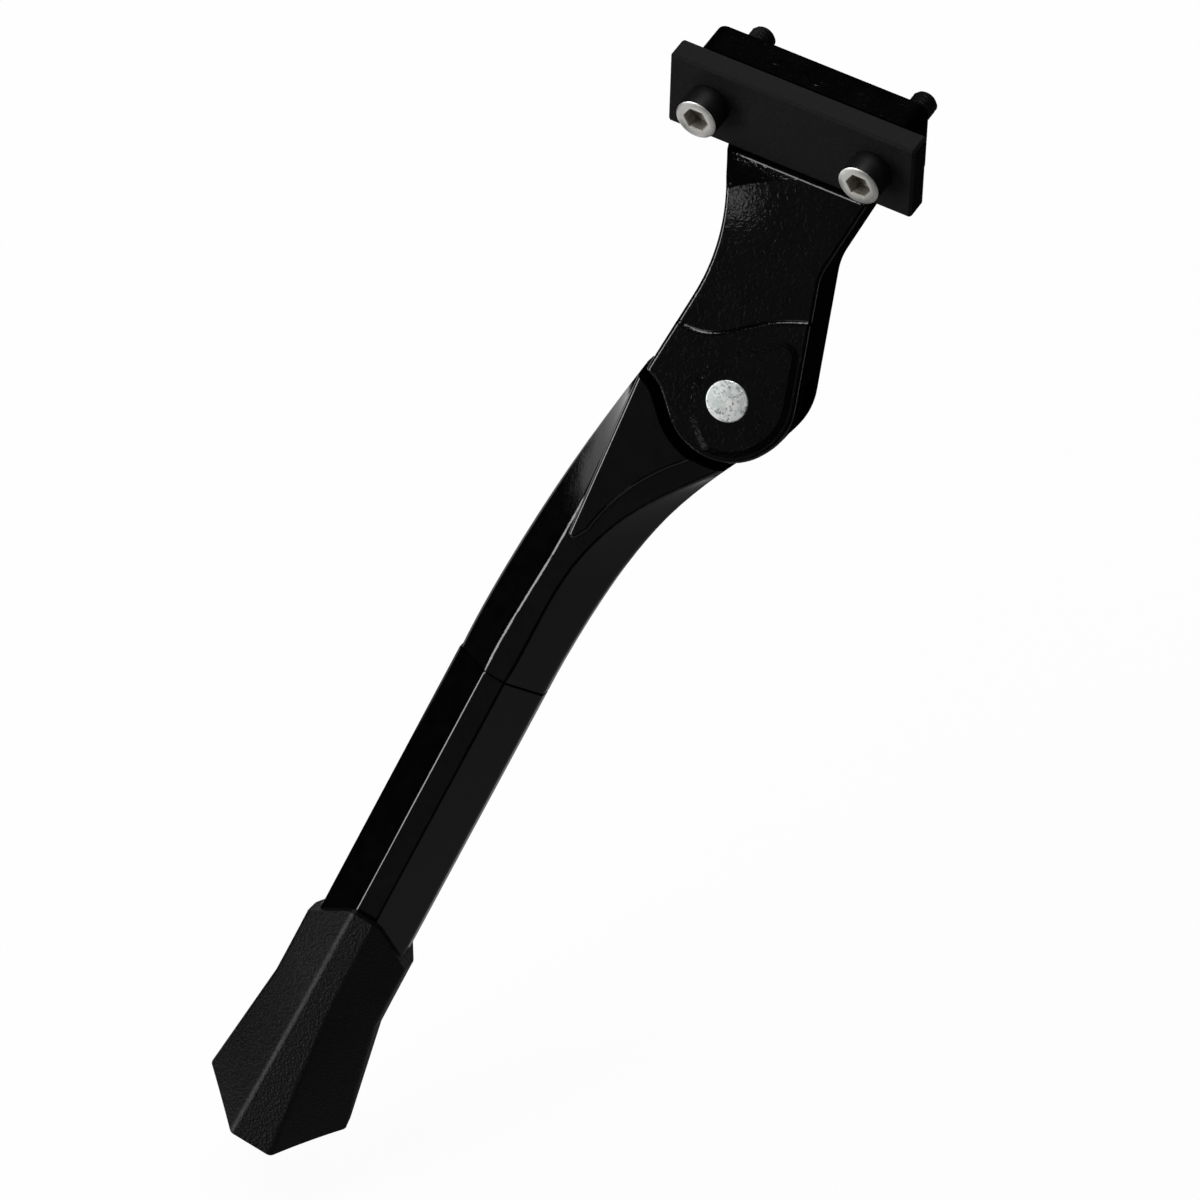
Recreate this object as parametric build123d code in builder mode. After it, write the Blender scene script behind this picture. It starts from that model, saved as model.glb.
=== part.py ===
from build123d import *

import os
from math import asin, cos, degrees, radians, sin

os.makedirs("parts", exist_ok=True)

# A folding bicycle kickstand, in millimetres. X runs along the two mounting screws towards the
# rear wheel, Y inward to the bicycle and Z up. The origin is midway between the screws, on the
# back of the head's flange, where the stand meets the frame.

# Mounting plate, flange and screws
screw_spacing = 40.0
screw_d = 6.0
screw_length = 25.0
screw_shank_d = 5.6
screw_thread_start = 0.6
screw_head_d = 10.0
screw_head_height = 6.0
screw_socket_width = 5.0
screw_socket_depth = 3.2
screw_edge = 0.5
screw_clearance = 0.2
plate_length = 60.0
plate_height = 20.0
plate_thickness = 6.0
plate_edge = 0.6
flange_length = 52.0
flange_height = 20.0
flange_thickness = 8.0
flange_corner_r = 3.0

# The fold plane: the leg swings in it, about an axis that leans up and turns to the rear
pivot_x = 0.49
pivot_y = -33.74
pivot_z = -60.48
fold_turn = 10.5
fold_tilt = 28.5
fold_travel = 95.0

# Head: neck and clevis cheeks, in the fold plane, with the pivot at 0,0
clevis_thickness = 19.0
slot_width = 8.6
cheek_r = 14.4
cheek_right = 15.5
cheek_lean = 0.4
cheek_corner_height = 2.0
heel = (-19.5, 1.9)
heel_rise = 5.2
heel_r = 1.3
cheek_draft = 0.05
step_left = (-14.2, 15.2)
step_line = ((-9.0, 14.2), (-2.5, 15.9), (5.0, 19.6))
step_right = (14.0, 22.1)
boss_line = ((15.1, 18.7), (3.2, 13.7), (-6.6, 6.4), (-8.9, -1.5), (-3.2, -13.2))
neck_left = (-12.2, 21.3)
neck_knee_height = 32.6
neck_knee_r = 14.0
shoulder_left = -13.1
shoulder_right = 24.0
shoulder_height = 55.0
neck_step = 0.8
boss_rise = 0.22
boss_inset = 1.2
boss_slope = 1.8
head_edge_r = 1.0
head_back_edge = 1.2
shoulder_rise = 0.8
lip_r = 1.0
ledge_slope = 36.0
ledge_r = 33.0

# Pivot
pin_d = 9.6
pin_proud = 0.25
pin_head_d = 14.0
pin_head_height = 2.2
pin_edge = 0.3
fit_gap = 0.05
bush_d = 13.0
washer_d = 22.0
washer_thickness = 0.6
running_clearance = 0.05
side_clearance = 0.1

# Detent: a sprung plunger in the neck and two notches in the tongue's rim
tongue_r = 12.8
tongue_clearance = 0.6
plunger_d = 7.0
plunger_length = 16.0
plunger_nose_r = 4.0
plunger_lift = 0.3
plunger_travel = 1.2
notch_r = 4.3
notch_depth = 1.5
spring_d = 6.0
spring_wire = 1.0
spring_wire_sides = 6
spring_length = 15.0
spring_pitch = 4.0

# Leg, along its own axis, which passes the pivot on the front side
leg_lean = 16.8
leg_offset = -16.5
leg_width = 21.8
leg_thickness = 18.0
leg_front_flat = 5.1
leg_back_flat = 11.0
leg_front_bevel = 5.6
leg_back_bevel = 8.0
leg_edge_r = 1.2
leg_wall = 2.2
seam_drop = 84.5
seam_gap = 0.3
seam_chamfer = 0.3
shoulder_gap = 2.0
stop_angle = 173.5
folded_stop_angle = -74.0
stop_gap_angle = 2.0

# The bend of the upper leg: at each drop, how far the left side, the two ends of the front flat
# and the right side lie from those of the plain section
bend_stations = (
    (seam_drop, 0.35, 0.0, 0.0, 0.0),
    (72.0, 0.3, 0.0, 0.25, 0.2),
    (54.0, 1.1, 0.95, 0.9, 1.5),
    (36.0, 2.6, 1.1, 6.4, 4.7),
    (20.0, 4.6, 0.1, 16.7, 10.3),
    (3.0, 7.2, -0.7, 26.4, 18.0),
)

# Raised face on the bend, by its place across and below the pivot
pad_rise = 1.0
pad_edge_r = 0.95
pad_tip_r = 1.2
pad_left = (-20.2, 3.0)
pad_tip = (-16.9, 49.5)
pad_right = ((-13.4, 43.0), (-5.95, 23.1), (6.1, 10.5))

# Length lock: a slot and a screw at the back of the lower leg
spigot_length = 50.0
spigot_clearance = 0.1
length_travel = 30.0
lock_drop = 124.0
lock_screw_d = 5.0
lock_depth = 9.0
lock_head_d = 8.6
lock_head_height = 3.0
lock_socket_width = 3.0
lock_socket_depth = 1.8
lock_washer_d = 10.0
lock_washer_thickness = 1.0
slot_clearance = 0.3

# Rubber foot, with heights above the middle of its sole
foot_wall = 2.1
foot_sole_drop = 204.7
foot_sole_thickness = 10.2
foot_rim_front = 53.8
foot_rim_side = 45.5
foot_rim_flat = 7.2
foot_rim_r = 4.0
foot_edge_r = 1.8
foot_side_lean = 0.08

# The boot's form at each height: its left side's flare and bevel, the two ends of its front flat,
# its right side's bevel and flare, and the flare of its front and back
foot_stations = (
    (58.7, 0.0, 0.0, -2.8, 2.7, 0.0, 0.0, 0.0, 0.0),
    (34.7, 0.0, 0.0, -2.85, 2.9, 0.0, 0.0, 0.0, 0.0),
    (28.7, 0.1, 0.5, -2.9, 3.1, 0.5, 0.05, 0.1, 0.1),
    (-15.3, 5.3, 4.5, -3.5, 7.95, 9.7, 7.4, 3.1, 3.0),
)

# Derived sizes
clevis_half = clevis_thickness / 2
slot_half = slot_width / 2
tongue_half = slot_half - side_clearance - washer_thickness
leg_half = leg_width / 2
leg_front = leg_thickness / 2
plate_front = flange_thickness + plate_thickness
shoulder_r = cheek_r + shoulder_gap
bore_d = pin_d + 2 * running_clearance
plunger_bore_d = plunger_d + 4 * running_clearance
plunger_tip = tongue_r + plunger_lift
leg_end_drop = foot_sole_drop - foot_sole_thickness
leg_front_side = leg_front - leg_front_bevel
leg_back_side = leg_back_bevel - leg_front

# Working planes. On the fold plane x is to the rear, y up the neck and the normal points outward.
turn = radians(fold_turn)
tilt = radians(fold_tilt)
outward = Vector(sin(turn) * cos(tilt), -cos(turn) * cos(tilt), sin(tilt))
fold_plane = Plane(
    origin=(pivot_x, pivot_y, pivot_z),
    x_dir=(cos(turn), sin(turn), 0),
    z_dir=outward,
)
leg_plane = fold_plane.moved(Location((0, 0, 0), (0, 0, -leg_lean)))
fold_axis = Axis(fold_plane.origin, outward)
neck_axis = Axis(fold_plane.origin, fold_plane.y_dir)
plunger_plane = Plane(
    origin=fold_plane.from_local_coords((0, tongue_r, 0)),
    x_dir=fold_plane.x_dir,
    z_dir=fold_plane.y_dir,
)


def leg_station(drop):
    """The plane across the leg's axis, this far below the pivot: x across, y outward."""
    centre = leg_plane.from_local_coords((leg_offset, -drop, 0))
    return Plane(origin=centre, x_dir=leg_plane.x_dir, z_dir=-leg_plane.y_dir)


leg_axis = Axis(fold_plane.origin, leg_plane.y_dir)
lock_plane = Plane(
    origin=leg_plane.from_local_coords((leg_offset, -lock_drop, -leg_front - lock_washer_thickness)),
    x_dir=leg_plane.x_dir,
    z_dir=-outward,
)
sole_plane = Plane(
    origin=leg_station(foot_sole_drop).origin,
    x_dir=leg_plane.x_dir,
    z_dir=leg_plane.y_dir * -cos(tilt) - outward * sin(tilt),
)


def polar(radius, angle):
    """A point on the fold plane, by its distance and direction from the pivot."""
    return (radius * cos(radians(angle)), radius * sin(radians(angle)))


# Head casting
reach = 3 * cheek_r


def head_outline(margin):
    """The neck and cheeks seen along the pivot: flared shoulder, waist, heel and round end."""
    with BuildSketch() as outline:
        with BuildLine():
            right = FilletPolyline(
                (shoulder_right, shoulder_height + plate_height),
                (shoulder_right, shoulder_height),
                (cheek_right - cheek_lean, neck_knee_height),
                (cheek_right, cheek_corner_height),
                radius=neck_knee_r,
            )
            corner = TangentArc(right @ 1, polar(cheek_r, -45), tangent=right % 1)
            round_end = CenterArc((0, 0), cheek_r, -45, -107)
            under_heel = PolarLine(round_end @ 1, heel_rise, direction=round_end % 1)
            heel_curve = TangentArc(under_heel @ 1, heel, tangent=under_heel % 1)
            left = Line(heel_curve @ 1, neck_left)
            waist_top = (shoulder_left, shoulder_height + flange_height / 5)
            waist = TangentArc(left @ 1, waist_top, tangent=left % 1)
            flare = PolarLine(waist @ 1, plate_height, direction=waist % 1)
            Line(flare @ 1, right @ 0)
        make_face()
        fillet(vertices().sort_by_distance(heel)[0], heel_r)
        if margin:
            offset(amount=margin)
    return outline.sketch


def slot_sector(left_angle, right_angle):
    """The part of the fold plane below the pivot, between two directions from it."""
    with BuildSketch() as sector:
        with BuildLine():
            Polyline(
                (0, 0),
                polar(reach, left_angle),
                (-reach, -reach),
                (reach, -reach),
                polar(reach, right_angle),
                close=True,
            )
        make_face()
    return sector.sketch


# Each cheek stands a step above the neck, along a wavy line
with BuildPart() as cheek_face:
    with BuildSketch(fold_plane):
        add(head_outline(-cheek_draft))
        with BuildLine():
            step = Spline(
                (-reach, step_left[1]),
                step_left,
                *step_line,
                step_right,
                (reach, step_right[1]),
            )
            Polyline(step @ 1, (reach, -reach), (-reach, -reach), step @ 0)
        make_face(mode=Mode.INTERSECT)
        fillet(vertices().sort_by(Axis.Y)[-2:], head_edge_r)
    extrude(amount=clevis_half)
    fillet(cheek_face.faces().sort_by(fold_axis)[-1].edges(), head_edge_r)

# A second, lower step curves round the pivot
with BuildPart() as pivot_boss:
    with BuildSketch(fold_plane):
        add(head_outline(-boss_inset))
        with BuildLine():
            rim = Spline((reach, step_right[1]), *boss_line, (pin_d / 4, -reach))
            Polyline(rim @ 1, (reach, -reach), rim @ 0)
        make_face(mode=Mode.INTERSECT)
        boss_corners = vertices().sort_by(Axis.Y)
        fillet([boss_corners[0], boss_corners[-1]], 2 * boss_slope)
    extrude(amount=clevis_half + boss_rise)
    boss_top = pivot_boss.faces().sort_by(fold_axis)[-1]
    chamfer(boss_top.edges(), boss_slope, boss_rise + cheek_draft, reference=boss_top)

# A lip as wide as the neck stands out under the plate
ledge_front = plate_front + shoulder_rise


def lip_curve():
    """The lip's rounded front edge, seen from the side."""
    return JernArc((-ledge_front, -plate_height / 2), (-1, 0), lip_r, ledge_slope)


with BuildPart() as plate_lip:
    with BuildSketch(Plane.YZ):
        with BuildLine():
            lip = lip_curve()
            Polyline(
                lip @ 1,
                (-flange_thickness, -plate_height / 2 - plate_thickness),
                (-flange_thickness, -plate_height / 2),
                lip @ 0,
            )
        make_face()
    extrude(amount=plate_length, both=True)
    with BuildSketch(fold_plane.offset(-clevis_half)):
        add(head_outline(-cheek_draft))
    extrude(amount=2 * clevis_thickness, mode=Mode.INTERSECT)

with BuildPart() as head_casting:
    with BuildSketch(fold_plane.offset(-clevis_half)):
        add(head_outline(0))
    extrude(amount=clevis_thickness - neck_step)
    back_face, front_face = head_casting.faces().filter_by(fold_axis).sort_by(fold_axis)
    chamfer(back_face.edges().sort_by(neck_axis)[:-1], head_back_edge)
    fillet(front_face.edges().sort_by(neck_axis)[:-1], head_edge_r)
    add(cheek_face.part)
    add(pivot_boss.part)
    # Seat for the plate, over a ledge that bends down into the neck, and the plane that meets the frame
    ledge_reach = 2 * plate_length
    with BuildSketch(Plane.YZ):
        with BuildLine():
            lip = lip_curve()
            ledge = JernArc(lip @ 1, lip % 1, ledge_r, 90 - fold_tilt - ledge_slope)
            neck_front = PolarLine(ledge @ 1, ledge_reach, angle=180)
            Polyline(
                neck_front @ 1,
                (-ledge_reach, ledge_reach),
                (ledge_reach, ledge_reach),
                (ledge_reach, -ledge_reach),
                (0, -ledge_reach),
                (0, plate_height / 4),
                (-flange_thickness, plate_height / 4),
                (-flange_thickness, -plate_height / 2),
                lip @ 0,
            )
        make_face()
    extrude(amount=plate_length, both=True, mode=Mode.SUBTRACT)
    add(plate_lip.part)
    with BuildSketch(Plane.XZ):
        RectangleRounded(flange_length, flange_height, flange_corner_r)
    extrude(amount=flange_thickness)
    # Slot for the leg's tongue, closed above by the web that stops it
    with BuildSketch(fold_plane):
        Circle(tongue_r + tongue_clearance)
        add(slot_sector(stop_angle - stop_gap_angle, folded_stop_angle + fold_travel + stop_gap_angle))
    extrude(amount=slot_half, both=True, mode=Mode.SUBTRACT)
    with BuildSketch(fold_plane):
        Circle(pin_d / 2 + fit_gap)
    extrude(amount=clevis_thickness, both=True, mode=Mode.SUBTRACT)
    with BuildSketch(plunger_plane):
        Circle(plunger_bore_d / 2)
    extrude(amount=plunger_lift + plunger_length + spring_length, mode=Mode.SUBTRACT)
    with Locations(Plane.XZ):
        with GridLocations(screw_spacing, screw_d, 2, 1):
            Hole(screw_d / 2 + screw_clearance)
head_casting.part.label = "head_casting"
export_step(head_casting.part, "parts/head_casting.step")

# Mounting plate
with BuildPart() as mounting_plate:
    with BuildSketch(Plane.XZ.offset(flange_thickness)):
        Rectangle(plate_length, plate_height)
    extrude(amount=plate_thickness)
    chamfer(mounting_plate.edges(), plate_edge)
    with Locations(Plane.XZ.offset(plate_front)):
        with GridLocations(screw_spacing, screw_d, 2, 1):
            Hole(screw_d / 2 + screw_clearance)
mounting_plate.part.label = "mounting_plate"
export_step(mounting_plate.part, "parts/mounting_plate.step")

# Two socket cap screws clamp the plate and the flange to the frame
for end, side in (("front", -1), ("rear", 1)):
    screw_seat = Plane(
        origin=(side * screw_spacing / 2, -plate_front, 0),
        x_dir=(1, 0, 0),
        z_dir=(0, -1, 0),
    )
    with BuildPart() as mounting_screw:
        with BuildSketch(screw_seat):
            Circle(screw_head_d / 2)
        extrude(amount=screw_head_height)
        chamfer(mounting_screw.edges().sort_by(Axis.Y)[0], screw_edge)
        with BuildSketch(screw_seat.offset(screw_head_height)):
            RegularPolygon(screw_socket_width / 2, 6, major_radius=False)
        extrude(amount=-screw_socket_depth, mode=Mode.SUBTRACT)
        with BuildSketch(screw_seat):
            Circle(screw_shank_d / 2)
        extrude(amount=-screw_length)
        with BuildSketch(screw_seat.offset(-screw_length)):
            Circle(screw_d / 2)
        extrude(amount=screw_length - plate_front - screw_thread_start)
        chamfer(mounting_screw.edges().sort_by(Axis.Y)[-1], screw_edge)
    mounting_screw.part.label = "mounting_screw_" + end
    export_step(mounting_screw.part, "parts/mounting_screw_" + end + ".step")

# Pivot: a rivet through both cheeks, a bush in the tongue and a washer on each side of it
with BuildPart() as pivot_pin:
    with BuildSketch(fold_plane.offset(-clevis_half)):
        Circle(pin_d / 2)
    extrude(amount=clevis_thickness + boss_rise + pin_proud)
    chamfer(pivot_pin.edges().sort_by(fold_axis)[-1], pin_edge)
    with BuildSketch(fold_plane.offset(-clevis_half)):
        Circle(pin_head_d / 2)
    extrude(amount=-pin_head_height)
    chamfer(pivot_pin.edges().sort_by(fold_axis)[0], pin_head_height / 2)
pivot_pin.part.label = "pivot_pin"
export_step(pivot_pin.part, "parts/pivot_pin.step")

with BuildPart() as pivot_bush:
    with BuildSketch(fold_plane):
        Circle(bush_d / 2)
        Circle(bore_d / 2, mode=Mode.SUBTRACT)
    extrude(amount=tongue_half, both=True)
pivot_bush.part.label = "pivot_bush"
export_step(pivot_bush.part, "parts/pivot_bush.step")

for place, side in (("outer", 1), ("inner", -1)):
    with BuildPart() as thrust_washer:
        with BuildSketch(fold_plane.offset(side * tongue_half)):
            Circle(washer_d / 2)
            Circle(bore_d / 2, mode=Mode.SUBTRACT)
        extrude(amount=side * washer_thickness)
    thrust_washer.part.label = "thrust_washer_" + place
    export_step(thrust_washer.part, "parts/thrust_washer_" + place + ".step")

# Detent: round-nosed plunger, drawn lifted off the tongue, and its spring
with BuildPart() as detent_plunger:
    with BuildSketch(fold_plane.moved(Location((0, plunger_tip, 0)))):
        with BuildLine():
            nose_angle = degrees(asin(plunger_d / 2 / plunger_nose_r))
            nose = CenterArc((0, plunger_nose_r), plunger_nose_r, -90, nose_angle)
            Polyline(nose @ 1, (plunger_d / 2, plunger_length), (0, plunger_length), nose @ 0)
        make_face()
    revolve(axis=neck_axis)
detent_plunger.part.label = "detent_plunger"
export_step(detent_plunger.part, "parts/detent_plunger.step")

with BuildPart() as detent_spring:
    with BuildLine() as coil:
        Helix(
            spring_pitch,
            spring_length - spring_wire,
            (spring_d - spring_wire) / 2,
            center=plunger_plane.offset(plunger_lift + plunger_length + spring_wire / 2).origin,
            direction=fold_plane.y_dir,
        )
    with BuildSketch(Plane(origin=coil.line @ 0, z_dir=coil.line % 0)):
        RegularPolygon(spring_wire / 2, spring_wire_sides)
    sweep(path=coil.line, is_frenet=True)
detent_spring.part.label = "detent_spring"
export_step(detent_spring.part, "parts/detent_spring.step")


# Leg
def leg_section(left, flat_left, flat_right, right):
    """The bevelled section, with its sides and the ends of its front flat moved across."""
    with BuildSketch() as section:
        with BuildLine():
            Polyline(
                (flat_left - leg_front_flat / 2, leg_front),
                (flat_right + leg_front_flat / 2, leg_front),
                (right + leg_half, leg_front_side),
                (right + leg_half, leg_back_side),
                (right + leg_back_flat / 2, -leg_front),
                (left - leg_back_flat / 2, -leg_front),
                (left - leg_half, leg_back_side),
                (left - leg_half, leg_front_side),
                close=True,
            )
        make_face()
        fillet(vertices(), leg_edge_r)
    return section.sketch


def plain_section(margin):
    """The straight leg's section, grown or shrunk by a margin."""
    with BuildSketch() as section:
        add(leg_section(0, 0, 0, 0))
        if margin:
            offset(amount=margin, kind=Kind.INTERSECTION)
    return section.sketch


# What the turning head needs of the leg: the gap round the cheeks, less the tongue's web
with BuildPart() as shoulder_room:
    with BuildSketch(fold_plane):
        add(head_outline(shoulder_gap))
        Circle(shoulder_r)
    extrude(amount=clevis_thickness, both=True)
    with BuildSketch(fold_plane):
        add(slot_sector(stop_angle, folded_stop_angle))
    extrude(amount=tongue_half, both=True, mode=Mode.SUBTRACT)

with BuildPart() as upper_leg:
    for drop, *shifts in bend_stations:
        with BuildSketch(leg_station(drop)):
            add(leg_section(*shifts))
    loft()
    with BuildSketch(leg_plane.offset(leg_front - pad_rise)):
        with BuildLine():
            slope = ThreePointArc(*((across, -drop) for across, drop in pad_right))
            Polyline(
                slope @ 1,
                (pad_right[-1][0], -pad_left[1]),
                (pad_left[0], -pad_left[1]),
                (pad_tip[0], -pad_tip[1]),
                slope @ 0,
            )
        make_face()
        fillet(vertices().sort_by(Axis.Y)[0], pad_tip_r)
    extrude(amount=2 * pad_rise)
    pad_face = upper_leg.faces().filter_by(fold_axis).sort_by(fold_axis)[-1]
    fillet(pad_face.edges(), pad_edge_r)
    add(shoulder_room.part, mode=Mode.SUBTRACT)
    with BuildSketch(fold_plane):
        Circle(tongue_r)
    extrude(amount=tongue_half, both=True)
    for notch_angle in (90, 90 - fold_travel):
        notch_centre = polar(tongue_r - notch_depth + notch_r, notch_angle)
        with Locations(fold_plane):
            with Locations((*notch_centre, 0)):
                Sphere(notch_r, mode=Mode.SUBTRACT)
    with BuildSketch(fold_plane):
        Circle(bush_d / 2 + fit_gap)
    extrude(amount=clevis_thickness, both=True, mode=Mode.SUBTRACT)
    with BuildSketch(leg_station(seam_drop)):
        add(plain_section(-leg_wall - spigot_clearance))
    extrude(amount=spigot_length)
    with BuildSketch(lock_plane):
        Circle(lock_screw_d / 2 + fit_gap)
    extrude(amount=-lock_depth - lock_screw_d, mode=Mode.SUBTRACT)
upper_leg.part.label = "upper_leg"
export_step(upper_leg.part, "parts/upper_leg.step")

# The lower leg slides on the spigot; its slot passes the lock screw
with BuildPart() as lower_leg:
    with BuildSketch(leg_station(seam_drop + seam_gap)):
        add(plain_section(0))
        add(plain_section(-leg_wall), mode=Mode.SUBTRACT)
    extrude(amount=leg_end_drop - seam_drop - seam_gap)
    with BuildSketch(lock_plane):
        with Locations((0, -length_travel / 2)):
            SlotCenterToCenter(length_travel, lock_screw_d + 2 * slot_clearance, rotation=90)
    extrude(amount=-lock_washer_thickness - 2 * leg_wall, mode=Mode.SUBTRACT)
    top_face = lower_leg.faces().sort_by(leg_axis)[-1]
    chamfer(top_face.outer_wire().edges(), seam_chamfer)
lower_leg.part.label = "lower_leg"
export_step(lower_leg.part, "parts/lower_leg.step")

with BuildPart() as length_washer:
    with BuildSketch(lock_plane):
        Circle(lock_washer_d / 2)
        Circle(lock_screw_d / 2 + fit_gap, mode=Mode.SUBTRACT)
    extrude(amount=-lock_washer_thickness)
length_washer.part.label = "length_washer"
export_step(length_washer.part, "parts/length_washer.step")

with BuildPart() as length_screw:
    with BuildSketch(lock_plane):
        Circle(lock_head_d / 2)
    extrude(amount=lock_head_height)
    chamfer(length_screw.edges().sort_by(fold_axis)[0], lock_head_height / 3)
    with BuildSketch(lock_plane.offset(lock_head_height)):
        RegularPolygon(lock_socket_width / 2, 6, major_radius=False)
    extrude(amount=-lock_socket_depth, mode=Mode.SUBTRACT)
    with BuildSketch(lock_plane):
        Circle(lock_screw_d / 2)
    extrude(amount=-lock_depth)
length_screw.part.label = "length_screw"
export_step(length_screw.part, "parts/length_screw.step")

# Rubber foot: a boot over the leg's end, with a slanted sole and a rim that dips at the sides
with BuildPart() as foot:
    for height, left, left_bevel, flat_left, flat_right, right_bevel, right, front, back in foot_stations:
        side = leg_half + foot_wall
        side_front = leg_front_side + foot_wall / 2
        side_back = leg_back_side - foot_wall / 2
        back_half = leg_back_flat / 2 + foot_wall / 2
        with BuildSketch(leg_station(foot_sole_drop - height)):
            with BuildLine():
                Polyline(
                    (flat_left, leg_front + foot_wall + front),
                    (flat_right, leg_front + foot_wall + front),
                    (side + right, side_front - right_bevel),
                    (side + right - foot_side_lean * right_bevel, side_back - right_bevel / 2),
                    (back_half + right, -leg_front - foot_wall - back),
                    (-back_half - left, -leg_front - foot_wall - back),
                    (-side - left + foot_side_lean * left_bevel, side_back - left_bevel / 2),
                    (-side - left, side_front - left_bevel),
                    close=True,
                )
            make_face()
            fillet(vertices(), foot_edge_r)
    loft(ruled=True)
    split(bisect_by=sole_plane, keep=Keep.BOTTOM)
    with BuildSketch(leg_plane.moved(Location((leg_offset, -foot_sole_drop, 0)))):
        with BuildLine():
            rim_fall = (foot_rim_front - foot_rim_side) / (leg_half + foot_wall - foot_rim_flat / 2)
            rim_low = foot_rim_front - rim_fall * (leg_width - foot_rim_flat / 2)
            Polyline(
                (-leg_width, rim_low),
                (-foot_rim_flat / 2, foot_rim_front),
                (foot_rim_flat / 2, foot_rim_front),
                (leg_width, rim_low),
                (leg_width, foot_rim_front + leg_width),
                (-leg_width, foot_rim_front + leg_width),
                close=True,
            )
        make_face()
        fillet(vertices().sort_by(Axis.Y)[2:4], foot_rim_r)
    extrude(amount=2 * leg_thickness, both=True, mode=Mode.SUBTRACT)
    with BuildSketch(leg_station(leg_end_drop)):
        add(plain_section(fit_gap))
    extrude(amount=-foot_rim_front, mode=Mode.SUBTRACT)
foot.part.label = "foot"
export_step(foot.part, "parts/foot.step")
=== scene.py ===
# %% [markdown]
# A folding bicycle kickstand, dressed for a product picture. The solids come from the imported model
# and stay where they are; this script gives them their finishes, makes the small turned and wound
# pieces again with the detail that a finish can't give, and sets up the camera and a plain studio.
# The scene is in metres. Sizes of pieces are given in millimetres and multiplied by MM.

import math

import bpy
import numpy as np
from mathutils import Matrix, Vector


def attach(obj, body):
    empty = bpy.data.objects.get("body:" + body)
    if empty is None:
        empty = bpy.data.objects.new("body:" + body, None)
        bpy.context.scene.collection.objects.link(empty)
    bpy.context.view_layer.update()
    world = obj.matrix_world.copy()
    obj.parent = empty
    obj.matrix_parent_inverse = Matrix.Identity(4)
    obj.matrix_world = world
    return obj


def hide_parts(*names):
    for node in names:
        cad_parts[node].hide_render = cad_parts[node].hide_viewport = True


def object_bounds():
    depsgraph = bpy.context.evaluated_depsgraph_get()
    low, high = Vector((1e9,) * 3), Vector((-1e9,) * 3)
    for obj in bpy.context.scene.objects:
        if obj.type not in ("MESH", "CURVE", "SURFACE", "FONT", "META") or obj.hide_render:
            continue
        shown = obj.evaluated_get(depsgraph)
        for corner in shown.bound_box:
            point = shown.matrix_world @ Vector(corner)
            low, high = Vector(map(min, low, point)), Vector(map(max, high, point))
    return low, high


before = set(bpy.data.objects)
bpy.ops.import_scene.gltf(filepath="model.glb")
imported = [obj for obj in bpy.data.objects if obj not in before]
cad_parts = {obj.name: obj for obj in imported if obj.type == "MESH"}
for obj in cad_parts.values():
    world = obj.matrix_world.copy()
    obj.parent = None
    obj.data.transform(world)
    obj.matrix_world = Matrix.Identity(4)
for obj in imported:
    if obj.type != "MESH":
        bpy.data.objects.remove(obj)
cad_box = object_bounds()

# %% [markdown]
# The stand leans: its leg swings in a plane that tips outward and turns a little to the rear. Most
# pieces are easiest to describe on that plane, so its directions are worked out once: across, up
# the neck and outward, with the pivot as the origin. The leg has its own pair, across it and down
# along it. Two helpers turn millimetres in these directions into a point of the scene.

# %% The fold plane's directions
MM = 0.001
TURN = math.radians(10.5)
TILT = math.radians(28.5)
LEAN = math.radians(16.8)
PIVOT = np.array([0.49, -33.74, -60.48]) * MM
ACROSS = np.array([math.cos(TURN), math.sin(TURN), 0.0])
OUTWARD = np.array([
    math.sin(TURN) * math.cos(TILT),
    -math.cos(TURN) * math.cos(TILT),
    math.sin(TILT),
])
UPWARD = np.cross(OUTWARD, ACROSS)
LEG_ACROSS = math.cos(LEAN) * ACROSS - math.sin(LEAN) * UPWARD
LEG_DOWN = -math.cos(LEAN) * UPWARD - math.sin(LEAN) * ACROSS


def by_neck(across, up, out):
    """A point by its millimetres across, up the neck and outward from the pivot."""
    return PIVOT + (across * ACROSS + up * UPWARD + out * OUTWARD) * MM


def by_leg(across, down, out):
    """A point by its millimetres across the leg, down along it and outward from the pivot."""
    return PIVOT + (across * LEG_ACROSS + down * LEG_DOWN + out * OUTWARD) * MM


print("leg points", LEG_DOWN.round(3))

# %% [markdown]
# The photograph was taken from the left, above and in front, with a long lens and the camera
# rolled. A camera's own matrix holds its right, up and backward directions as columns, so the
# fitted directions go straight into it.

# %% Camera
VIEW_RIGHT = (0.8694, 0.4937, 0.0212)
VIEW_UP = (-0.3718, 0.6254, 0.6861)
VIEW_BACK = (0.3255, -0.6043, 0.7272)
VIEW_FROM = (0.6554, -1.3109, 1.3915)
LENS_MM = 279.2

camera_data = bpy.data.cameras.new("photo_camera")
camera_data.sensor_fit = "HORIZONTAL"
camera_data.sensor_width = 36.0
camera_data.lens = LENS_MM
camera_data.clip_end = 20.0
camera = bpy.data.objects.new("photo_camera", camera_data)
bpy.context.collection.objects.link(camera)
axes = Matrix((VIEW_RIGHT, VIEW_UP, VIEW_BACK)).transposed()
camera.matrix_world = Matrix.Translation(VIEW_FROM) @ axes.to_4x4()
bpy.context.scene.camera = camera
print("camera lens", LENS_MM)

# %% [markdown]
# Every node below is made by one helper: a number or a colour becomes a socket's value, and a
# socket becomes a link. Arithmetic, noise and the stretching of a range come up so often that each
# has a helper that returns its output.


# %% Helpers for nodes
def plug(tree, made, inputs):
    """Fills a node's inputs, each with a value or with an output socket to link from."""
    for key, value in inputs.items():
        if isinstance(value, bpy.types.NodeSocket):
            tree.links.new(value, made.inputs[key])
        else:
            made.inputs[key].default_value = value
    return made


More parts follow.
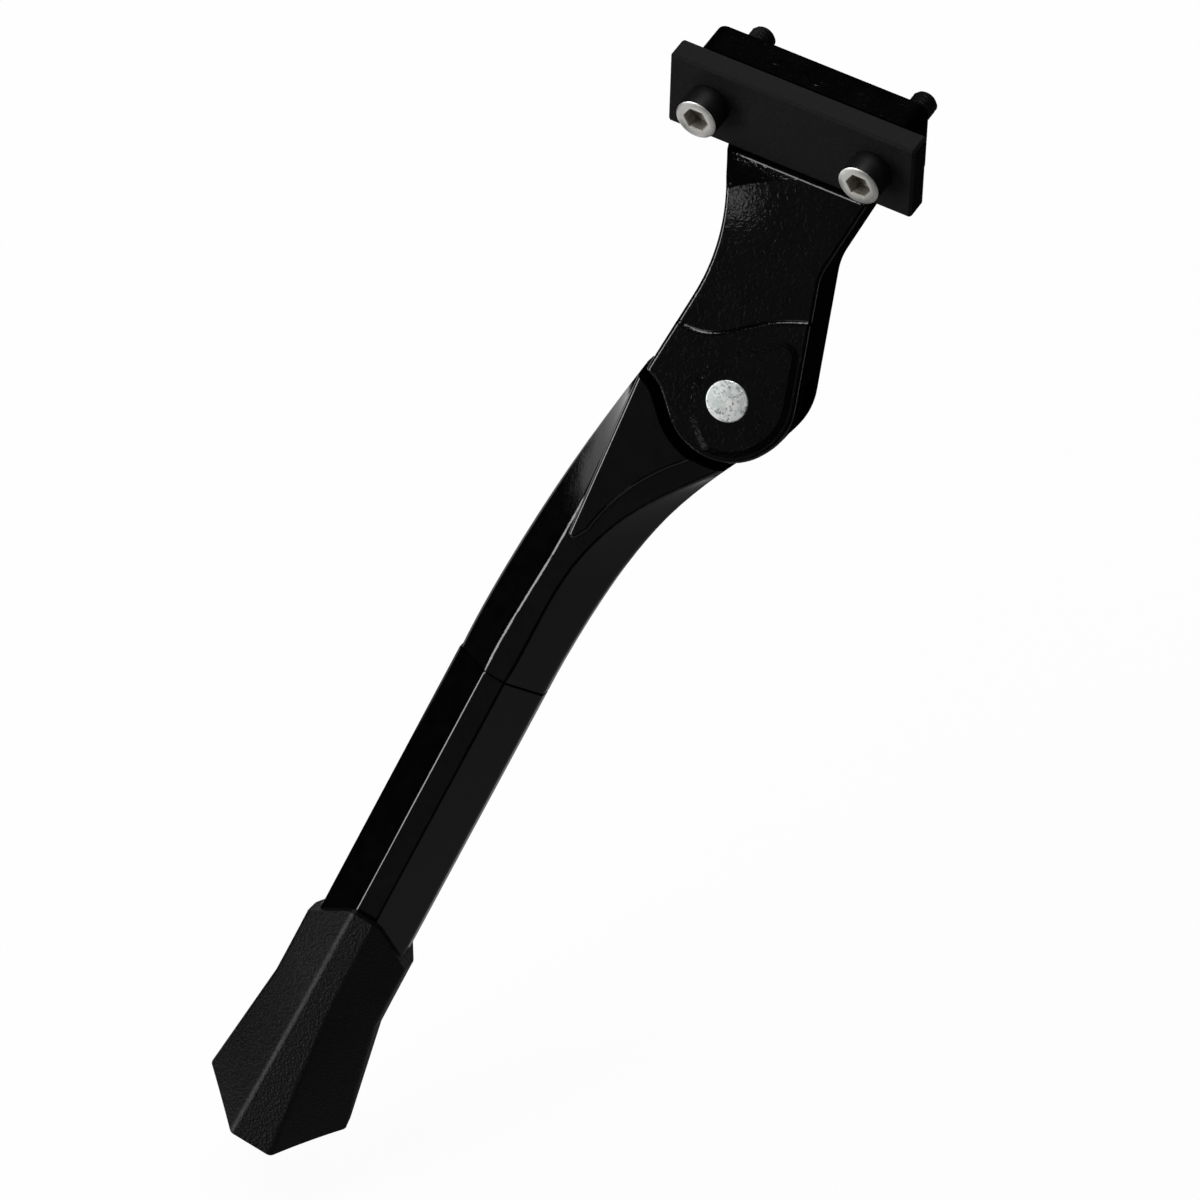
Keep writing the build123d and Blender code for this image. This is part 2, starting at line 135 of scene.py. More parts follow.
def node(tree, kind, inputs=None, **settings):
    """Adds a shader node, with settings such as its operation, and fills its inputs."""
    made = tree.nodes.new("ShaderNode" + kind)
    for key, value in settings.items():
        setattr(made, key, value)
    return plug(tree, made, inputs or {})


def maths(tree, operation, *values):
    """One step of arithmetic."""
    return node(tree, "Math", dict(enumerate(values)), operation=operation).outputs[0]


def noise(tree, place, scale, detail, **more):
    """Cloudy noise about 0.5, with this many lumps to a metre."""
    made = node(tree, "TexNoise", {"Vector": place, "Scale": scale, "Detail": detail, **more})
    return made.outputs["Fac"]


def stretch(tree, value, start, stop, low=0.0, high=1.0):
    """Goes from low to high as the value goes from start to stop, and stays level beyond."""
    return node(tree, "MapRange", {
        "Value": value, "From Min": start, "From Max": stop, "To Min": low, "To Max": high}).outputs[0]


def between(tree, factor, low, high):
    """Goes from low to high as the factor goes from 0 to 1."""
    return stretch(tree, factor, 0.0, 1.0, low, high)


def blend(tree, factor, first, second):
    """A colour between two."""
    return node(tree, "Mix", {0: factor, 6: first, 7: second}, data_type="RGBA").outputs[2]


def grey(level):
    """A neutral colour."""
    return (level, level, level, 1.0)


# %% [markdown]
# Black paint shows little but what it mirrors, so the studio is planned by reflections. The floor
# is white to the camera and to mirrored rays, and facets that face left mirror it. The world is
# dim, so that the front faces stay near black, and only the camera sees it white.


# %% World and floor
def flat_sheet(name, middle, side, rise):
    """A rectangle, spanned by two half edges about its middle; returns it with its material's tree."""
    middle, side, rise = (np.array(v) for v in (middle, side, rise))
    corners = [middle - side - rise, middle + side - rise, middle + side + rise, middle - side + rise]
    mesh = bpy.data.meshes.new(name)
    mesh.from_pydata([tuple(c) for c in corners], [], [(0, 1, 2, 3)])
    sheet = bpy.data.objects.new(name, mesh)
    bpy.context.collection.objects.link(sheet)
    material = bpy.data.materials.new(name)
    material.use_nodes = True
    mesh.materials.append(material)
    return sheet, material.node_tree


scene = bpy.context.scene
scene.view_settings.view_transform = "Standard"

world = bpy.data.worlds.new("studio")
scene.world = world
world.use_nodes = True
tree = world.node_tree
dim_sky = plug(tree, tree.nodes["Background"], {"Color": grey(0.015)})
white_sky = node(tree, "Background", {"Color": grey(1.0)})
seen = node(tree, "MixShader", {
    0: node(tree, "LightPath").outputs["Is Camera Ray"], 1: dim_sky.outputs[0], 2: white_sky.outputs[0]})
plug(tree, tree.nodes["World Output"], {"Surface": seen.outputs[0]})

FLOOR_DROP = 20 * MM
FLOOR_HALF = 6.0
FLOOR_GLOW = 0.95
floor_z = cad_box[0][2] - FLOOR_DROP
floor, tree = flat_sheet("floor", (0.0, 0.0, floor_z), (FLOOR_HALF, 0.0, 0.0), (0.0, FLOOR_HALF, 0.0))
rays = node(tree, "LightPath").outputs
mirrored = maths(tree, "MAXIMUM", rays["Is Glossy Ray"], rays["Is Transmission Ray"])
direct = maths(tree, "MAXIMUM", rays["Is Camera Ray"], mirrored)
share = maths(tree, "MULTIPLY", direct, FLOOR_GLOW)
glow = node(tree, "Emission", {"Color": grey(1.0)})
shaded = plug(tree, tree.nodes["Principled BSDF"], {"Base Color": grey(0.9), "Roughness": 0.9})
lit = node(tree, "MixShader", {0: share, 1: shaded.outputs[0], 2: glow.outputs[0]})
plug(tree, tree.nodes["Material Output"], {"Surface": lit.outputs[0]})
print("floor at", round(floor_z, 4))

# %% [markdown]
# Soft boxes light the stand. The tall one at the left front is the key: rounded edges between the
# left facets and the front flats mirror it as thin bright lines. One overhead draws the steps of the
# casting. A dim wide panel in front lifts the front faces a little off black, with a less dim strip
# beside it for the waves of the paint to catch. One behind keeps the back from going black. A small
# one close to the neck leaves a glint there.


# %% Soft boxes
def soft_box(name, aim, toward, distance, size, radiance):
    """A rectangular light, this far from a point in a direction, turned to face it."""
    aim = Vector(aim)
    data = bpy.data.lights.new(name, "AREA")
    data.shape = "RECTANGLE"
    data.size, data.size_y = size
    data.energy = radiance * math.pi * data.size * data.size_y
    lamp = bpy.data.objects.new(name, data)
    bpy.context.collection.objects.link(lamp)
    lamp.location = aim + Vector(toward).normalized() * distance
    lamp.rotation_euler = (aim - lamp.location).to_track_quat("-Z", "Y").to_euler()
    lamp.visible_camera = False


leg_middle = by_leg(0.0, 60.0, 0.0)
neck_spot = by_neck(-7.5, 45.0, 8.7)
soft_box("key_light", leg_middle, (-0.60, -0.785, 0.12),
         distance=1.2, size=(0.46, 1.1), radiance=8.3)
soft_box("top_light", leg_middle, (-0.2, 0.05, 0.97),
         distance=1.2, size=(1.05, 0.5), radiance=6.5)
soft_box("front_panel", leg_middle, (-0.07, -0.98, 0.2),
         distance=1.6, size=(0.56, 1.0), radiance=0.075)
soft_box("front_strip", leg_middle, (-0.155, -0.976, 0.155),
         distance=1.5, size=(0.08, 0.7), radiance=0.5)
soft_box("rear_light", leg_middle, (-0.15, 0.95, 0.28),
         distance=1.3, size=(0.7, 0.9), radiance=3.5)
soft_box("neck_glint", neck_spot, (-0.03, -0.98, 0.2),
         distance=0.045, size=(0.008, 0.007), radiance=1.65)

# %% [markdown]
# A studio also takes light away. Cards that only mirrored rays see stand where a facet would
# otherwise mirror the white floor: behind, at the left front, beside the neck and the foot, and, laid
# just above the floor, in front and at the right, where the card is grey.


# %% Cards
def studio_card(name, middle, side, rise, tone):
    """A plain card of one tone that only mirrored rays see."""
    card, tree = flat_sheet(name, middle, side, rise)
    plug(tree, tree.nodes["Principled BSDF"], {
        "Base Color": grey(tone), "Roughness": 1.0, "Specular IOR Level": 0.0})
    card.visible_camera = card.visible_diffuse = card.visible_shadow = False


studio_card("back_card", (0.25, 0.055, -0.08), (0.40, 0.0, 0.0), (0.0, 0.0, 0.17), tone=0.002)
studio_card("left_card", (-0.75, -0.50, -0.03), (0.0, 0.21, 0.0), (0.0, 0.0, 0.22), tone=0.002)
studio_card("neck_card", (-0.10, -0.02, -0.03), (0.0, 0.10, 0.0), (0.0, 0.0, 0.05), tone=0.002)
studio_card("foot_card", (-0.12, -0.105, -0.20), (0.0, 0.085, 0.0), (0.0, 0.0, 0.052), tone=0.01)
studio_card("front_card", (2.20, -3.10, floor_z + 0.004), (2.70, 0.0, 0.0), (0.0, 2.70, 0.0), tone=0.004)
studio_card("right_card", (0.35, -0.08, floor_z + 0.008), (0.435, 0.0, 0.0), (0.0, 0.37, 0.0), tone=0.27)

# %% [markdown]
# Effects that several finishes share are node groups. The first is the skin of sprayed paint on a
# casting: fine, worm-like waves, as on an orange's peel, and a slow mottle for the gloss to vary with.


# %% Node group: sprayed skin
def node_group(name, control, value, results):
    """An empty shader group that takes coordinates and one control, and gives the named results;
    returns the group, its coordinates, its control and the node that gathers its results."""
    group = bpy.data.node_groups.new(name, "ShaderNodeTree")
    group.interface.new_socket("Vector", in_out="INPUT", socket_type="NodeSocketVector")
    knob = group.interface.new_socket(control, in_out="INPUT", socket_type="NodeSocketFloat")
    knob.default_value = value
    for label in results:
        group.interface.new_socket(label, in_out="OUTPUT", socket_type="NodeSocketFloat")
    given = group.nodes.new("NodeGroupInput").outputs
    return group, given["Vector"], given[control], group.nodes.new("NodeGroupOutput")


sprayed_skin, place, wave, result = node_group("sprayed_skin", "Wave", 900.0, ("Height", "Mottle"))
waves = noise(sprayed_skin, place, wave, 1.0, Distortion=1.3)
ripples = noise(sprayed_skin, place, maths(sprayed_skin, "MULTIPLY", wave, 2.6), 1.0)
swells = noise(sprayed_skin, place, maths(sprayed_skin, "MULTIPLY", wave, 0.2), 3.0)
plug(sprayed_skin, result, {
    "Height": maths(sprayed_skin, "MULTIPLY_ADD", ripples, 0.1, waves),
    "Mottle": stretch(sprayed_skin, swells, 0.35, 0.68),
})
print("group", sprayed_skin.name)

# %% [markdown]
# Handling leaves hairline scuffs and a few specks of dust. Scuffs are noise drawn out along one
# direction and cut off near its top, in patches, and specks are the middles of sparse cells.

# %% Node group: handling marks
handling_marks, place, amount, result = node_group("handling_marks", "Amount", 0.5, ("Scuff", "Speck"))
drawn_out = node(handling_marks, "Mapping", {
    "Vector": place, "Rotation": (0.5, 0.3, 0.9), "Scale": (1500.0, 90.0, 500.0)})
scuffs = stretch(handling_marks, noise(handling_marks, drawn_out.outputs[0], 1.0, 2.0), 0.66, 0.74)
patches = stretch(handling_marks, noise(handling_marks, place, 55.0, 2.0), 0.52, 0.66)
scuffs = maths(handling_marks, "MULTIPLY", scuffs, patches)
cells = node(handling_marks, "TexVoronoi", {"Vector": place, "Scale": 420.0})
specks = stretch(handling_marks, cells.outputs["Distance"], 0.10, 0.04)
plug(handling_marks, result, {
    "Scuff": maths(handling_marks, "MULTIPLY", scuffs, amount),
    "Speck": maths(handling_marks, "MULTIPLY", specks, amount),
})
print("group", handling_marks.name)

# %% [markdown]
# Rubber from a spark-eroded mould and powder paint are both evenly grainy: a fine cell pattern for
# the grain, and a noise with finer detail that speckles its brightness.

# %% Node group: moulded grain
moulded_grain, place, size, result = node_group("moulded_grain", "Grain", 2200.0, ("Height", "Speckle"))
grains = node(moulded_grain, "TexVoronoi", {"Vector": place, "Scale": size}, feature="SMOOTH_F1")
speckle = noise(moulded_grain, place, maths(moulded_grain, "MULTIPLY", size, 0.7), 4.0, Roughness=0.7)
plug(moulded_grain, result, {
    "Height": maths(moulded_grain, "ADD", grains.outputs["Distance"], speckle),
    "Speckle": speckle,
})
print("group", moulded_grain.name)

# %% [markdown]
# Steel that was turned on a lathe carries fine rings about its axis. The group takes coordinates
# whose Z is that axis and waves with the distance from it.

# %% Node group: turned rings
turned_rings, place, rings, result = node_group("turned_rings", "Rings", 9000.0, ("Height", "Streak"))
flat = node(turned_rings, "VectorMath", {0: place, 1: (1.0, 1.0, 0.0)}, operation="MULTIPLY")
away = node(turned_rings, "VectorMath", {0: flat.outputs[0]}, operation="LENGTH")
turns = maths(turned_rings, "MULTIPLY", away.outputs["Value"], rings)
uneven = node(turned_rings, "TexNoise", {"Scale": 1.0, "Detail": 3.0}, noise_dimensions="1D")
plug(turned_rings, uneven, {"W": turns})
plug(turned_rings, result, {
    "Height": maths(turned_rings, "SINE", turns),
    "Streak": uneven.outputs["Fac"],
})
print("group", turned_rings.name)

# %% [markdown]
# Most finishes start the same way: a Principled shader with its plain values set on its own
# sockets, and the object's coordinates to hang patterns on. A bump turns a height into a slope.


# %% Helpers for finishes
def new_finish(name, **values):
    """A material with plain values on its shader; returns it, its tree, its shader and coordinates."""
    material = bpy.data.materials.new(name)
    material.use_nodes = True
    tree = material.node_tree
    shader = tree.nodes["Principled BSDF"]
    for label, value in values.items():
        shader.inputs[label.replace("_", " ").title().replace("Ior", "IOR")].default_value = value
    return material, tree, shader, node(tree, "TexCoord").outputs["Object"]


def shared(tree, group, place, **control):
    """Places a shared group in a material and returns its results."""
    return node(tree, "Group", {"Vector": place, **control}, node_tree=group).outputs


def bump(tree, height, strength, depth):
    """A normal that follows a height; depth is the height's full rise in metres."""
    return node(tree, "Bump", {"Strength": strength, "Distance": depth, "Height": height}).outputs[0]


def paint_node(name, material):
    """Gives a CAD node its finish."""
    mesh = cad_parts[name].data
    mesh.materials.clear()
    mesh.materials.append(material)


# %% [markdown]
# The head and the leg are castings under gloss black paint. The head's skin is the liveliest, the
# upper leg's is finer and the drawn lower leg is nearly smooth, so one recipe takes the wave's
# count, its depth, the range of roughness, the share of marks and the paint's index of refraction.


# %% Gloss black paint
def gloss_black(name, wave, depth, roughness, marks, ior):
    """Sprayed black: slow swells vary its roughness, scuffs dull it and specks lighten it."""
    material, tree, shader, place = new_finish(name, ior=ior)
    skin = shared(tree, sprayed_skin, place, Wave=wave)
    worn = shared(tree, handling_marks, place, Amount=marks)
    black = blend(tree, skin["Mottle"], grey(0.0006), grey(0.0012))
    sheen = between(tree, skin["Mottle"], *roughness)
    plug(tree, shader, {
        "Base Color": blend(tree, worn["Speck"], black, grey(0.012)),
        "Roughness": maths(tree, "MULTIPLY_ADD", worn["Scuff"], 0.25, sheen),
        "Normal": bump(tree, skin["Height"], 0.5, depth),
    })
    return material


paint_node("head_casting", gloss_black(
    "head_paint", wave=750.0, depth=0.00012, roughness=(0.11, 0.13), marks=0.3, ior=1.44))
paint_node("upper_leg", gloss_black(
    "leg_paint", wave=1400.0, depth=0.00003, roughness=(0.11, 0.13), marks=0.35, ior=1.5))
paint_node("lower_leg", gloss_black(
    "tube_paint", wave=1800.0, depth=0.00001, roughness=(0.09, 0.11), marks=0.35, ior=1.5))
print("gloss black on head, upper leg and lower leg")

# %% [markdown]
# The mounting plate is powder coated: matt, evenly grainy and a touch lighter than the gloss.

# %% Matt black plate
powder, tree, shader, place = new_finish("plate_powder", specular_ior_level=0.08)
grain = shared(tree, moulded_grain, place, Grain=1700.0)
worn = shared(tree, handling_marks, place, Amount=0.5)
tone = blend(tree, grain["Speckle"], grey(0.003), grey(0.011))
plug(tree, shader, {
    "Base Color": blend(tree, worn["Speck"], tone, grey(0.03)),
    "Roughness": between(tree, grain["Speckle"], 0.5, 0.72),
    "Normal": bump(tree, grain["Height"], 0.5, 0.00010),
})
paint_node("mounting_plate", powder)
print("matt black on the plate")

# %% [markdown]
# The foot is moulded rubber, grainy and dull, greyer than the paint. Dust settles into the grain,
# so the speckle also shifts the colour. A paler stripe down the ridge on its front is a painted
# highlight, for the key light caught on the rounded edge: the distance from the plane that holds the
# ridge and the outward direction gives that stripe, on the front side only, and the grain breaks it up.

# %% Rubber
RIDGE_TOP = by_leg(-19.3, 146.0, 11.1)
RIDGE_END = by_leg(-20.0, 220.0, 14.2)
# Widths of the painted highlight on the ridge: full near the ridge's plane, gone beyond.
RIDGE_HIGHLIGHT_FULL, RIDGE_HIGHLIGHT_GONE = 0.1 * MM, 0.8 * MM
FRONT_GONE, FRONT_FULL = -12 * MM, -6 * MM
ridge_side = np.cross(RIDGE_END - RIDGE_TOP, OUTWARD)
ridge_side /= np.linalg.norm(ridge_side)

rubber, tree, shader, place = new_finish("foot_rubber", specular_ior_level=0.13)
grain = shared(tree, moulded_grain, place, Grain=2100.0)
bloom = between(tree, noise(tree, place, 70.0, 3.0), 0.0, 0.20)
tone = blend(tree, grain["Speckle"], grey(0.0), grey(0.007))
tone = blend(tree, bloom, tone, grey(0.004))

from_ridge = node(tree, "VectorMath", {0: place, 1: RIDGE_TOP}, operation="SUBTRACT").outputs[0]
aside = node(tree, "VectorMath", {0: from_ridge, 1: ridge_side}, operation="DOT_PRODUCT")
ahead = node(tree, "VectorMath", {0: from_ridge, 1: OUTWARD}, operation="DOT_PRODUCT")
# Painted highlight: a paler stripe in the base colour down the ridge, on the front side only, broken up
# by the grain.
stripe = stretch(tree, maths(tree, "ABSOLUTE", aside.outputs["Value"]), RIDGE_HIGHLIGHT_FULL, RIDGE_HIGHLIGHT_GONE, 1.0, 0.0)
front = stretch(tree, ahead.outputs["Value"], FRONT_GONE, FRONT_FULL)
painted_ridge_highlight = maths(tree, "MULTIPLY", stripe, front)
painted_ridge_highlight = maths(tree, "MULTIPLY", painted_ridge_highlight, between(tree, grain["Speckle"], -0.5, 1.7))
plug(tree, shader, {
    "Base Color": blend(tree, painted_ridge_highlight, tone, grey(0.043)),
    "Roughness": between(tree, grain["Speckle"], 0.31, 0.47),
    "Normal": bump(tree, grain["Height"], 0.9, 0.00014),
})
paint_node("foot", rubber)
print("rubber on the foot")

# %% [markdown]
# Turned steel needs coordinates with the origin on its own axis and Z along it. A Mapping node moves
# and turns the object's coordinates there, so each turned finish is made for one axis.


# %% Finishes for turned metal
def axis_place(tree, place, centre, axis):
    """The object's coordinates, moved and turned so that Z runs along an axis through a point."""
    turn = Vector(axis).to_track_quat("Z", "Y").to_matrix().transposed()
    shift = -(turn @ Vector(centre))
    return node(tree, "Mapping", {
        "Vector": place, "Location": shift, "Rotation": turn.to_euler()}).outputs[0]


def turned_metal(name, centre, axis, dark, bright, roughness, metallic=1.0):
    """Bare metal with lathe rings: their streaks and a cloud vary its colour and its roughness."""
    material, tree, shader, place = new_finish(name, metallic=metallic)
    lathe = shared(tree, turned_rings, axis_place(tree, place, centre, axis))
    cloud = noise(tree, place, 600.0, 4.0)
    shade = between(tree, maths(tree, "MULTIPLY", lathe["Streak"], cloud), -0.2, 1.6)
    plug(tree, shader, {
        "Base Color": blend(tree, shade, (*dark, 1.0), (*bright, 1.0)),
        "Roughness": between(tree, cloud, *roughness),
        "Normal": bump(tree, lathe["Height"], 0.12, 0.00001),
    })
    return material


def oxide_black(name, level):
    """Blackened steel: nearly black, satin, with faint clouds where oil has dried."""
    material, tree, shader, place = new_finish(name, specular_ior_level=0.16)
    cloud = noise(tree, place, 700.0, 4.0)
    plug(tree, shader, {
        "Base Color": blend(tree, cloud, grey(0.3 * level), grey(1.6 * level)),
        "Roughness": between(tree, cloud, 0.40, 0.62),
        "Normal": bump(tree, cloud, 0.2, 0.00002),
    })
    return material


# %% [markdown]
# The small pieces are surfaces of turning: a radius for every height along an axis and every angle
# about it. One helper places such a grid of points, and another closes it into a mesh, with a fan at
# each end, and turns it the right way out by the sign of its volume.

# %% Helpers for turned pieces
SIDES = 72
ANGLES = 2 * math.pi * np.arange(SIDES) / SIDES
SHARP_ANGLE = math.radians(30)


def around_axis(centre, axis, heights, radii):
    """P(h, a) = centre + h * axis + r(h, a) * (cos a * across + sin a * up), as rows of points;
    heights and radii in millimetres."""
    axis = np.asarray(axis, float)
    across = np.cross((0.0, 0.0, 1.0), axis)
    across /= np.linalg.norm(across)
    up = np.cross(axis, across)
    spokes = np.cos(ANGLES)[:, None] * across + np.sin(ANGLES)[:, None] * up
    return np.asarray(centre) + (heights[:, None, None] * axis + radii[:, :, None] * spokes) * MM


def closed_skin(name, rows, finishes, bands):
    """Joins rows of points, each a closed ring, into one skin; bands gives each strip's finish."""
    count, around = rows.shape[:2]
    points = np.concatenate([rows.reshape(-1, 3), rows[0].mean(0)[None], rows[-1].mean(0)[None]])
    step = np.arange(around)
    after = (step + 1) % around
    start = np.arange(count - 1)[:, None] * around
    strips = np.stack([start + step, start + after, start + around + after, start + around + step], -1)
    strips = strips.reshape(-1, 4)
    last_row = (count - 1) * around
    first = np.stack([np.full(around, count * around), after, step], -1)
    last = np.stack([np.full(around, count * around + 1), last_row + step, last_row + after], -1)
    fans = np.concatenate([first, last])

    triangles = np.concatenate([strips[:, :3], strips[:, [0, 2, 3]], fans])
    a, b, c = (points[triangles[:, k]] for k in range(3))
    if (a * np.cross(b, c)).sum() < 0:
        strips, fans = strips[:, ::-1], fans[:, ::-1]

    mesh = bpy.data.meshes.new(name)
    mesh.from_pydata(points.tolist(), [], strips.tolist() + fans.tolist())
    for finish in finishes:
        mesh.materials.append(finish)
    bands = np.asarray(bands, dtype=np.int32)
    mesh.polygons.foreach_set("material_index", np.concatenate([
        np.repeat(bands, around), np.full(around, bands[0]), np.full(around, bands[-1])]))
    mesh.shade_smooth()
    mesh.set_sharp_from_angle(angle=SHARP_ANGLE)
    piece = bpy.data.objects.new(name, mesh)
    bpy.context.collection.objects.link(piece)
    return piece


def seat_piece(piece, body, stands_for):
    """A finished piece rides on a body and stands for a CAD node."""
    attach(piece, body)
    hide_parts(stands_for)
    print(piece.name, len(piece.data.polygons), "faces")


# %% [markdown]
# A socket cap screw is one such surface. Its rows start on the socket's floor, climb the six walls,
# cross the bare face, round the edge and run down the blackened side, the shank and the thread. The
# socket's radius is that of a hexagon, and the thread's climbs by one pitch for each turn.

# %% Cap screws
FACE, SOCKET, SIDE = 0, 1, 2
THREAD_ROWS = 8
THREAD_DEPTH = 0.55


def cap_screw(name, seat, axis, finishes, head_d, head_height, socket_width, socket_depth, edge,
              shank_d, thread_d, length, thread_start, pitch):
    """Hexagon: r = (width / 2) / cos(a mod 60 degrees - 30 degrees).
    Thread: r = crest - depth * |2 * frac(h / pitch - a / turn) - 1|, cut off by a cone at its end."""
    ring = np.ones(SIDES)
    socket = socket_width / 2 / np.cos(ANGLES % (math.pi / 3) - math.pi / 6)
    floor = head_height - socket_depth
    head_r, shank_r, crest = head_d / 2, shank_d / 2, thread_d / 2
    stations = [
        (floor - 0.1 * socket_width, 0.1 * socket, SOCKET),
        (floor, socket, SOCKET),
        (head_height - 0.05 * socket_width, socket, SOCKET),
        (head_height, socket + 0.04 * socket_width, FACE),
        (head_height, (head_r - edge) * ring, FACE),
        (head_height - 0.3 * edge, (head_r - 0.3 * edge) * ring, SIDE),
        (head_height - edge, head_r * ring, SIDE),
        (0.5 * edge, head_r * ring, SIDE),
        (0.0, (head_r - 0.5 * edge) * ring, SIDE),
        (0.0, shank_r * ring, SIDE),
        (-thread_start, shank_r * ring, SIDE),
    ]
    heights, radii, bands = zip(*stations)
    step = pitch / THREAD_ROWS
    along = np.append(np.arange(-thread_start - step, step / 2 - length, -step), -length)
    phase = (along[:, None] / pitch - ANGLES / (2 * math.pi)) % 1.0
    thread = crest - THREAD_DEPTH * pitch * np.abs(2 * phase - 1)
    thread = np.minimum(thread, crest - edge + (length + along[:, None]))
    rows = around_axis(seat, axis, np.append(heights, along), np.concatenate([radii, thread]))
    return closed_skin(name, rows, finishes, [*bands, *[SIDE] * (len(along) - 1)])


SCREW_AXIS = (0.0, -1.0, 0.0)
SCREW_SEATS = {"front": np.array([-20.0, -14.0, 0.0]) * MM, "rear": np.array([20.0, -14.0, 0.0]) * MM}
screw_side = oxide_black("screw_side", 0.004)
for end, seat in SCREW_SEATS.items():
    face = turned_metal("screw_face_" + end, seat, SCREW_AXIS,
                        dark=(0.58, 0.57, 0.54), bright=(0.94, 0.93, 0.90), roughness=(0.28, 0.40))
    socket = turned_metal("screw_socket_" + end, seat, SCREW_AXIS, metallic=0.5,
                          dark=(0.26, 0.24, 0.21), bright=(0.60, 0.57, 0.52), roughness=(0.35, 0.5))
    screw = cap_screw(
        "cap_screw_" + end, seat, SCREW_AXIS, (face, socket, screw_side),
        head_d=10.0, head_height=6.0, socket_width=5.0, socket_depth=3.2, edge=0.5,
        shank_d=5.6, thread_d=6.0, length=25.0, thread_start=14.6, pitch=1.0)
    seat_piece(screw, "head", "mounting_screw_" + end)

# %% [markdown]
# The screw that locks the leg's length is a smaller one of the same kind, blackened all over, with
# its bare face worn grey. It sits at the back of the leg and points outward.

# %% Length screw
LOCK_SEAT = by_leg(-16.5, 124.0, -10.0)
lock_face = turned_metal("lock_face", LOCK_SEAT, -OUTWARD,
                         dark=(0.10, 0.10, 0.10), bright=(0.22, 0.22, 0.22), roughness=(0.32, 0.46))
lock_side = oxide_black("lock_side", 0.006)
lock = cap_screw(
    "lock_screw", LOCK_SEAT, -OUTWARD, (lock_face, lock_side, lock_side),
    head_d=8.6, head_height=3.0, socket_width=3.0, socket_depth=1.8, edge=0.9,
    shank_d=4.6, thread_d=5.0, length=9.0, thread_start=1.2, pitch=0.8)
seat_piece(lock, "leg", "length_screw")

# %% [markdown]
# The pivot is a rivet of zinc-coated steel: a long pin with a slightly crowned front end and a low
# dome behind. Zinc dulls and stains: a broad noise greys it, a finer one adds dark spots, and the
# finest a few brown flecks.

# %% Pivot rivet
zinc, tree, shader, place = new_finish("zinc_coat", metallic=0.75)
stains = noise(tree, place, 800.0, 8.0, Roughness=0.7)
dulled = stretch(tree, noise(tree, place, 330.0, 5.0, Roughness=0.65), 0.44, 0.56)
spots = stretch(tree, stains, 0.54, 0.62)
flecks = stretch(tree, noise(tree, place, 1500.0, 4.0), 0.60, 0.68)
coat = blend(tree, dulled, (0.97, 0.99, 0.98, 1.0), (0.68, 0.73, 0.71, 1.0))
coat = blend(tree, spots, coat, (0.21, 0.24, 0.23, 1.0))
plug(tree, shader, {
    "Base Color": blend(tree, flecks, coat, (0.36, 0.31, 0.25, 1.0)),
    "Roughness": between(tree, stains, 0.34, 0.60),
    "Normal": bump(tree, stains, 0.15, 0.00003),
})

CROWN = np.radians(np.linspace(3, 90, 8))
PIN_R, PIN_FRONT, PIN_BACK, PIN_EDGE = 4.8, 9.97, -9.5, 0.3
DOME_R, DOME_RIM, DOME_RISE = 7.0, -10.4, 1.3
heights = np.concatenate([
    PIN_FRONT - PIN_EDGE * (1 - np.cos(CROWN)),
    [PIN_BACK, PIN_BACK],
    DOME_RIM - DOME_RISE * np.cos(CROWN[::-1]),
])
radii = np.concatenate([
    PIN_R - PIN_EDGE * (1 - np.sin(CROWN)),
    [PIN_R, DOME_R],
    DOME_R * np.sin(CROWN[::-1]),
])
rows = around_axis(PIVOT, OUTWARD, heights, np.repeat(radii[:, None], SIDES, 1))
rivet = closed_skin("pivot_rivet", rows, (zinc,), [0] * (len(heights) - 1))
seat_piece(rivet, "head", "pivot_pin")
paint_node("length_washer", zinc)

# %% [markdown]
# The detent's spring is a round wire carried along a helix. The wire's own circle is set up on two
# directions that move with the path: outward from the spring's axis, and square to that and the path.

# %% Detent spring
TONGUE_R, PLUNGER_LIFT, PLUNGER_LENGTH = 12.8, 0.3, 16.0
WIRE_R, COIL_R, COIL_PITCH, COIL_RISE = 0.5, 2.5, 4.0, 14.0
COIL_ROWS = 260
COIL_BASE = by_neck(0.0, TONGUE_R + PLUNGER_LIFT + PLUNGER_LENGTH + WIRE_R, 0.0)
spring_steel = turned_metal("spring_steel", COIL_BASE, UPWARD,
                            dark=(0.16, 0.16, 0.17), bright=(0.38, 0.38, 0.40), roughness=(0.28, 0.42))


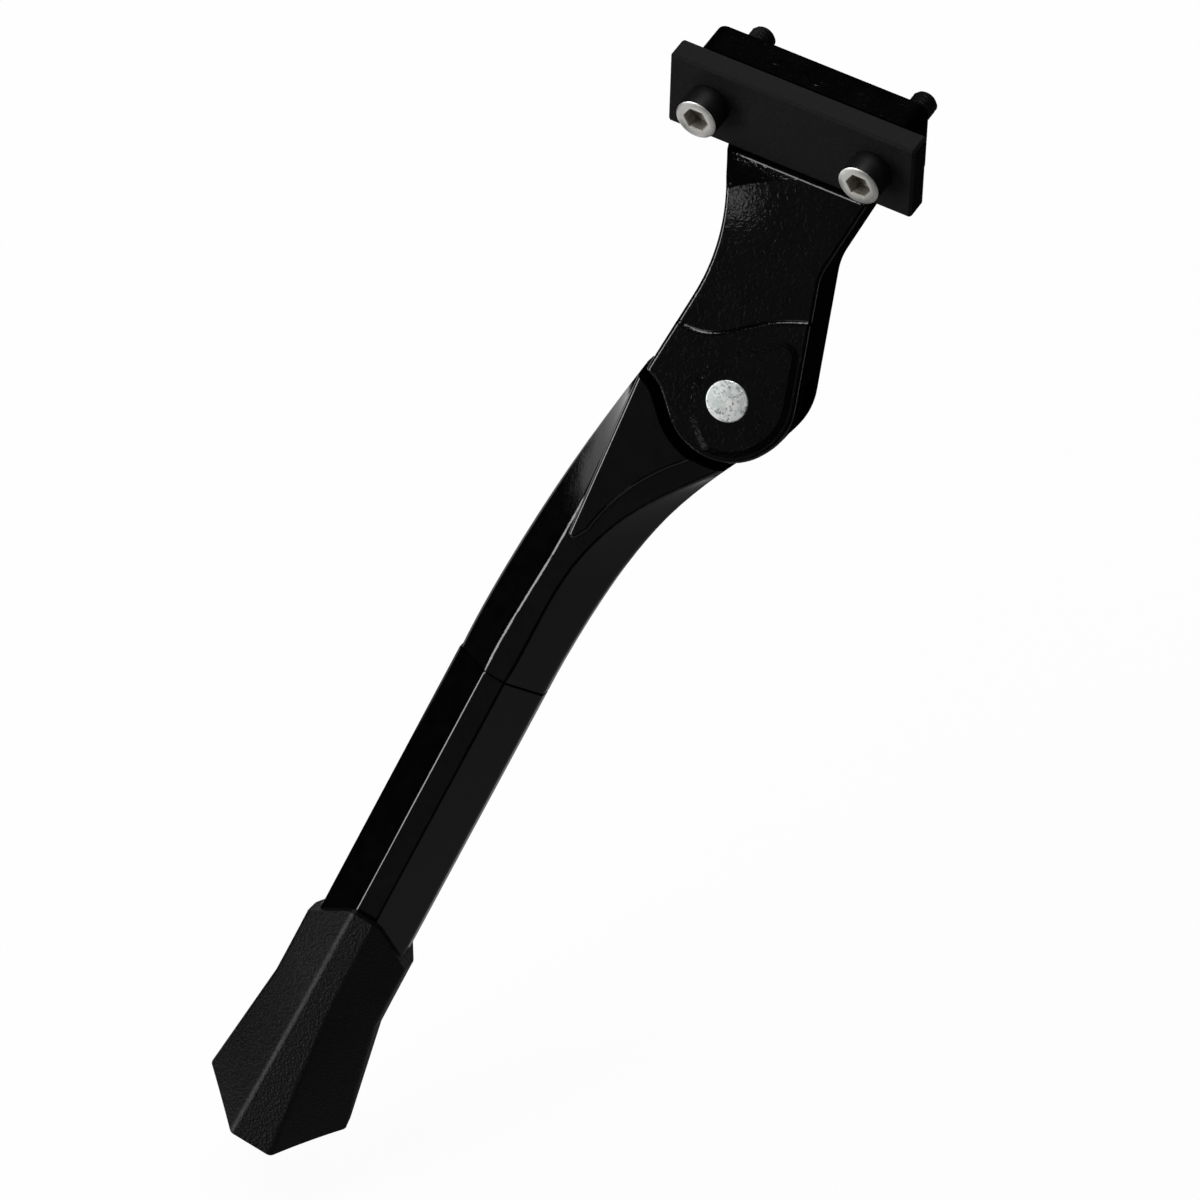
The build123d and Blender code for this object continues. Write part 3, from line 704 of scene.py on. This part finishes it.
def wound_wire(name, finish):
    """Path C(t) = base + t * rise * axis + R * (cos w * across + sin w * out), with w = turns * t;
    skin C(t) + r * (cos a * radial + sin a * side), where side = path direction x radial."""
    turns = 2 * math.pi * COIL_RISE / COIL_PITCH
    t = np.linspace(0.0, 1.0, COIL_ROWS)[:, None]
    radial = np.cos(turns * t) * ACROSS + np.sin(turns * t) * OUTWARD
    swing = turns * COIL_R * (np.cos(turns * t) * OUTWARD - np.sin(turns * t) * ACROSS)
    along = swing + COIL_RISE * UPWARD
    along /= np.linalg.norm(along, axis=1)[:, None]
    side = np.cross(along, radial)
    path = COIL_BASE + (t * COIL_RISE * UPWARD + COIL_R * radial) * MM
    a = ANGLES[::4, None]
    circle = np.cos(a) * radial[:, None] + np.sin(a) * side[:, None]
    return closed_skin(name, path[:, None] + WIRE_R * MM * circle, (finish,), [0] * (len(t) - 1))


seat_piece(wound_wire("wound_spring", spring_steel), "head", "detent_spring")

# %% [markdown]
# The pieces inside the joint keep their CAD form and get plain engineering finishes: a brass bush,
# off-white plastic washers and a hardened plunger, each with the marks of how it was made.

# %% Inside the joint
paint_node("pivot_bush", turned_metal(
    "bush_brass", PIVOT, OUTWARD,
    dark=(0.42, 0.28, 0.10), bright=(0.72, 0.53, 0.24), roughness=(0.25, 0.42)))
paint_node("detent_plunger", turned_metal(
    "plunger_steel", PIVOT, UPWARD,
    dark=(0.26, 0.26, 0.27), bright=(0.50, 0.50, 0.52), roughness=(0.22, 0.36)))

washer, tree, shader, place = new_finish("washer_plastic", ior=1.49)
grain = shared(tree, moulded_grain, place, Grain=1500.0)
plug(tree, shader, {
    "Base Color": blend(tree, grain["Speckle"], (0.50, 0.49, 0.44, 1.0), (0.66, 0.65, 0.60, 1.0)),
    "Roughness": between(tree, grain["Speckle"], 0.4, 0.6),
    "Normal": bump(tree, grain["Height"], 0.2, 0.00004),
})
paint_node("thrust_washer_outer", washer)
paint_node("thrust_washer_inner", washer)
print("bush, plunger and washers finished")
